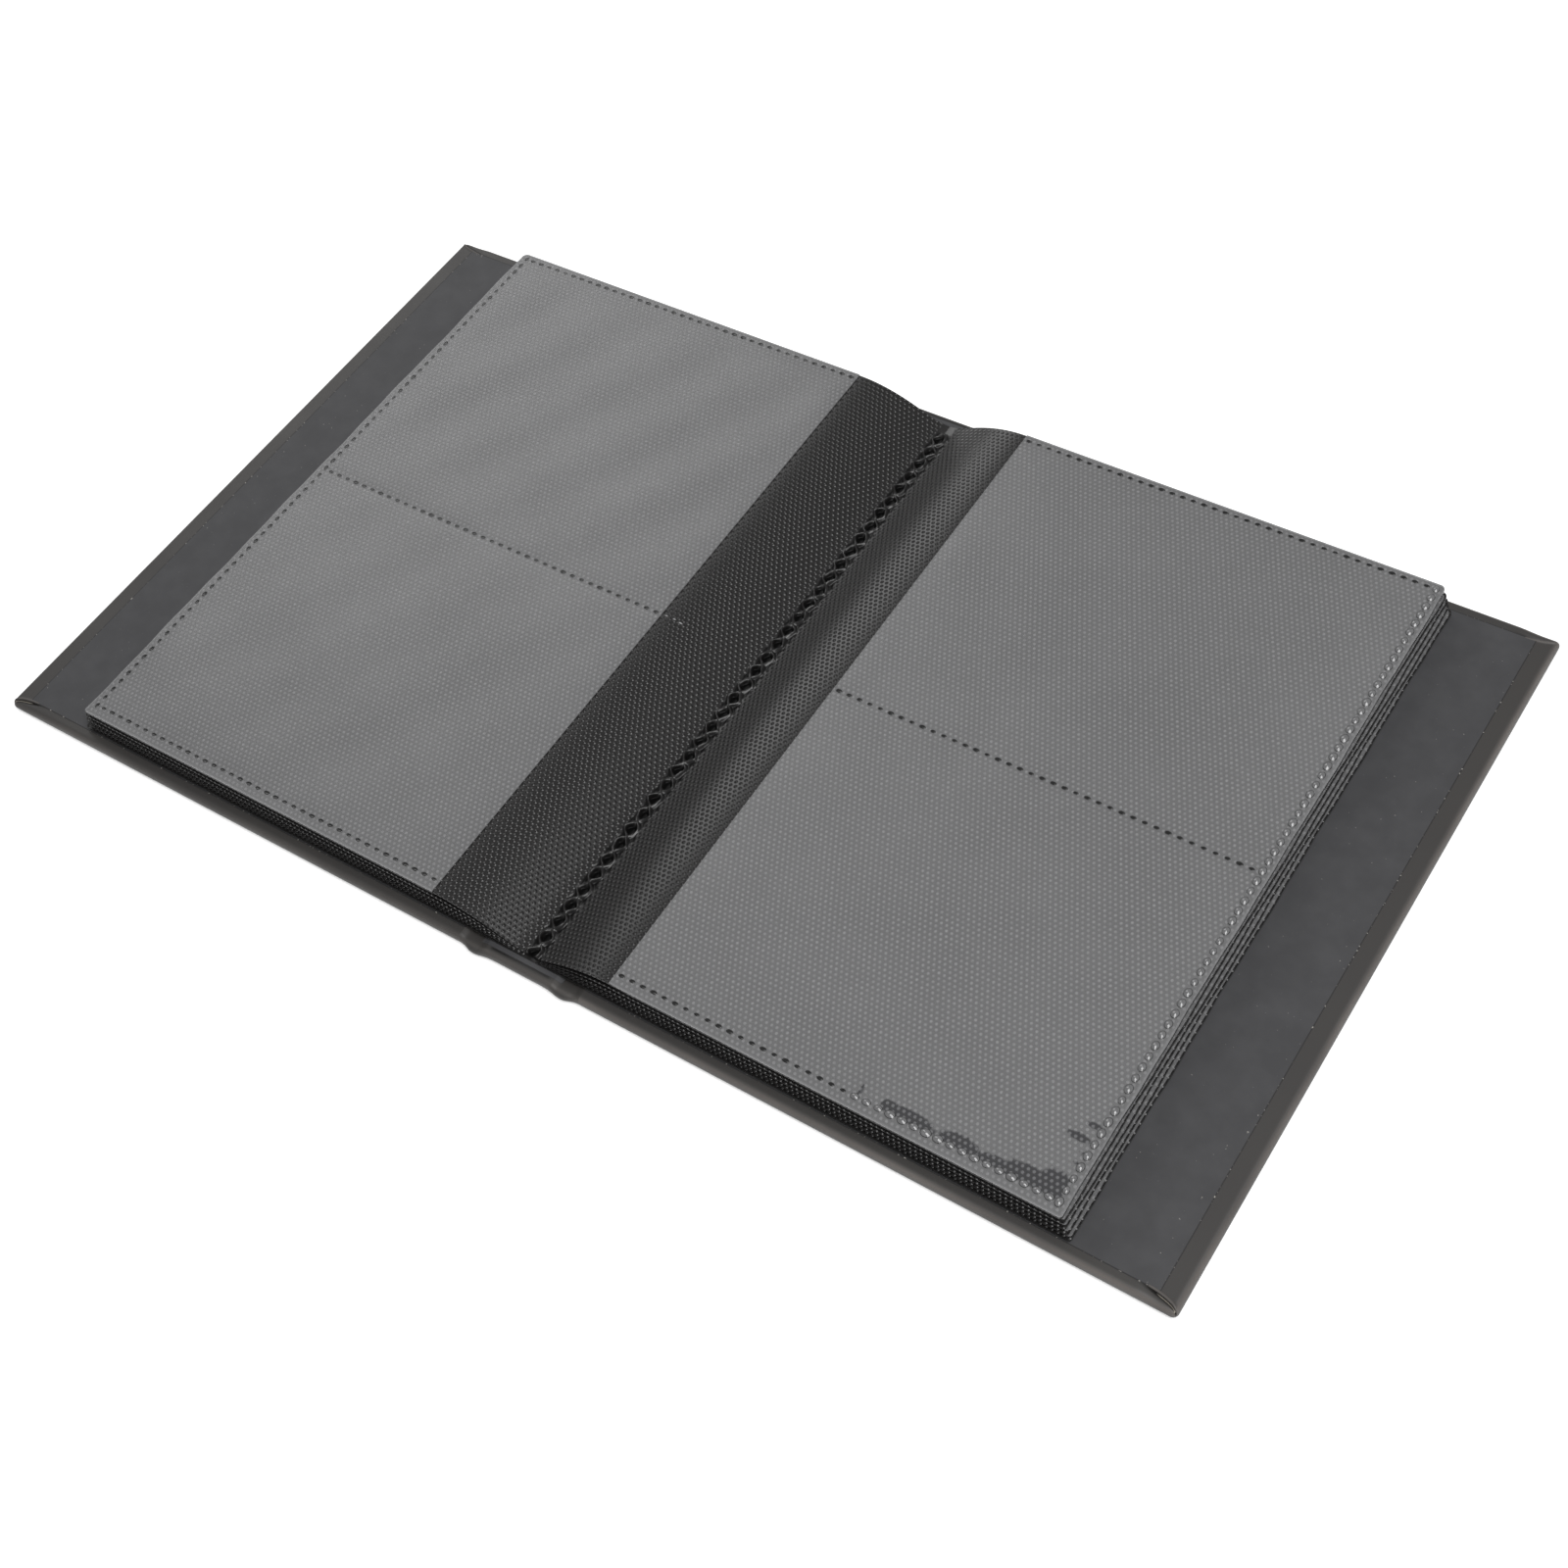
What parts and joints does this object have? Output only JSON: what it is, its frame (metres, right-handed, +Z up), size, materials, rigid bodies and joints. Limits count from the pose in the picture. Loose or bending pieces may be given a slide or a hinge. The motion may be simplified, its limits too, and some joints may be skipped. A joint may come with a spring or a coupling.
{
  "type": "sticker storage album",
  "caption": "open hardback pocket album with black boards and a welded block of embossed leaves, clear film pockets on both faces, covers and leaves that turn",
  "frame": {"origin": "on the table under the middle of the open album", "axes": "+X across the open spread to the right, +Y along the spine away from the reader, +Z up from the table"},
  "size_m": [0.344, 0.2, 0.012],
  "materials": {
    "black_pu_cloth": "matte black polyurethane-coated cover cloth, fine grain",
    "greyboard": "pressed grey bookbinding board, hidden inside the skin",
    "charcoal_lining": "smooth charcoal coated lining sheet",
    "black_embossed_polypropylene": "black polypropylene sheet with a small raised dot emboss",
    "frosted_polypropylene_film": "clear frosted polypropylene film, heat welded"
  },
  "bodies": {
    "spine": {"spine_board": "greyboard", "spine_skin": "black_pu_cloth", "spine_lining": "charcoal_lining", "gutter_1": "black_embossed_polypropylene", "gutter_2": "black_embossed_polypropylene", "gutter_3": "black_embossed_polypropylene", "gutter_4": "black_embossed_polypropylene", "gutter_5": "black_embossed_polypropylene", "centre_weld": "black_embossed_polypropylene"},
    "left_cover": {"left_board": "greyboard", "left_skin": "black_pu_cloth", "left_lining": "charcoal_lining"},
    "right_cover": {"right_board": "greyboard", "right_skin": "black_pu_cloth", "right_lining": "charcoal_lining"},
    "left_leaf_1": {"left_leaf_1_backing": "black_embossed_polypropylene", "left_leaf_1_front_film": "frosted_polypropylene_film", "left_leaf_1_back_film": "frosted_polypropylene_film"},
    "left_leaf_2": {"left_leaf_2_backing": "black_embossed_polypropylene", "left_leaf_2_front_film": "frosted_polypropylene_film", "left_leaf_2_back_film": "frosted_polypropylene_film"},
    "left_leaf_3": {"left_leaf_3_backing": "black_embossed_polypropylene", "left_leaf_3_front_film": "frosted_polypropylene_film", "left_leaf_3_back_film": "frosted_polypropylene_film"},
    "left_leaf_4": {"left_leaf_4_backing": "black_embossed_polypropylene", "left_leaf_4_front_film": "frosted_polypropylene_film", "left_leaf_4_back_film": "frosted_polypropylene_film"},
    "left_leaf_5": {"left_leaf_5_backing": "black_embossed_polypropylene", "left_leaf_5_front_film": "frosted_polypropylene_film", "left_leaf_5_back_film": "frosted_polypropylene_film"},
    "right_leaf_1": {"right_leaf_1_backing": "black_embossed_polypropylene", "right_leaf_1_front_film": "frosted_polypropylene_film", "right_leaf_1_back_film": "frosted_polypropylene_film"},
    "right_leaf_2": {"right_leaf_2_backing": "black_embossed_polypropylene", "right_leaf_2_front_film": "frosted_polypropylene_film", "right_leaf_2_back_film": "frosted_polypropylene_film"},
    "right_leaf_3": {"right_leaf_3_backing": "black_embossed_polypropylene", "right_leaf_3_front_film": "frosted_polypropylene_film", "right_leaf_3_back_film": "frosted_polypropylene_film"},
    "right_leaf_4": {"right_leaf_4_backing": "black_embossed_polypropylene", "right_leaf_4_front_film": "frosted_polypropylene_film", "right_leaf_4_back_film": "frosted_polypropylene_film"},
    "right_leaf_5": {"right_leaf_5_backing": "black_embossed_polypropylene", "right_leaf_5_front_film": "frosted_polypropylene_film", "right_leaf_5_back_film": "frosted_polypropylene_film"}
  },
  "joints": [
    {"name": "left_cover_hinge", "type": "hinge", "parent": "spine", "child": "left_cover", "pos_m": [-0.014, 0, 0.0016], "axis": [0, -1, 0], "range_deg": [-90, 0]},
    {"name": "right_cover_hinge", "type": "hinge", "parent": "spine", "child": "right_cover", "pos_m": [0.014, 0, 0.0016], "axis": [0, 1, 0], "range_deg": [-90, 0]},
    {"name": "left_leaf_1_turn", "type": "hinge", "parent": "spine", "child": "left_leaf_1", "pos_m": [-0.00395, 0, 0.00645], "axis": [0, -1, 0], "range_deg": [-90, 0]},
    {"name": "left_leaf_2_turn", "type": "hinge", "parent": "left_leaf_1", "child": "left_leaf_2", "pos_m": [-0.00395, 0, 0.00645], "axis": [0, 1, 0], "range_deg": [0, 21]},
    {"name": "left_leaf_3_turn", "type": "hinge", "parent": "left_leaf_2", "child": "left_leaf_3", "pos_m": [-0.00395, 0, 0.00645], "axis": [0, 1, 0], "range_deg": [0, 21]},
    {"name": "left_leaf_4_turn", "type": "hinge", "parent": "left_leaf_3", "child": "left_leaf_4", "pos_m": [-0.00395, 0, 0.00645], "axis": [0, 1, 0], "range_deg": [0, 21]},
    {"name": "left_leaf_5_turn", "type": "hinge", "parent": "left_leaf_4", "child": "left_leaf_5", "pos_m": [-0.00395, 0, 0.00645], "axis": [0, 1, 0], "range_deg": [0, 21]},
    {"name": "right_leaf_1_turn", "type": "hinge", "parent": "spine", "child": "right_leaf_1", "pos_m": [0.00795, 0, 0.00645], "axis": [0, 1, 0], "range_deg": [-90, 0]},
    {"name": "right_leaf_2_turn", "type": "hinge", "parent": "right_leaf_1", "child": "right_leaf_2", "pos_m": [0.00795, 0, 0.00645], "axis": [0, -1, 0], "range_deg": [0, 21]},
    {"name": "right_leaf_3_turn", "type": "hinge", "parent": "right_leaf_2", "child": "right_leaf_3", "pos_m": [0.00795, 0, 0.00645], "axis": [0, -1, 0], "range_deg": [0, 21]},
    {"name": "right_leaf_4_turn", "type": "hinge", "parent": "right_leaf_3", "child": "right_leaf_4", "pos_m": [0.00795, 0, 0.00645], "axis": [0, -1, 0], "range_deg": [0, 21]},
    {"name": "right_leaf_5_turn", "type": "hinge", "parent": "right_leaf_4", "child": "right_leaf_5", "pos_m": [0.00795, 0, 0.00645], "axis": [0, -1, 0], "range_deg": [0, 21]}
  ],
  "couplings": [
    {"joint": "left_leaf_1_turn", "follows": "left_cover_hinge", "ratio": 1},
    {"joint": "right_leaf_1_turn", "follows": "right_cover_hinge", "ratio": 1}
  ]
}
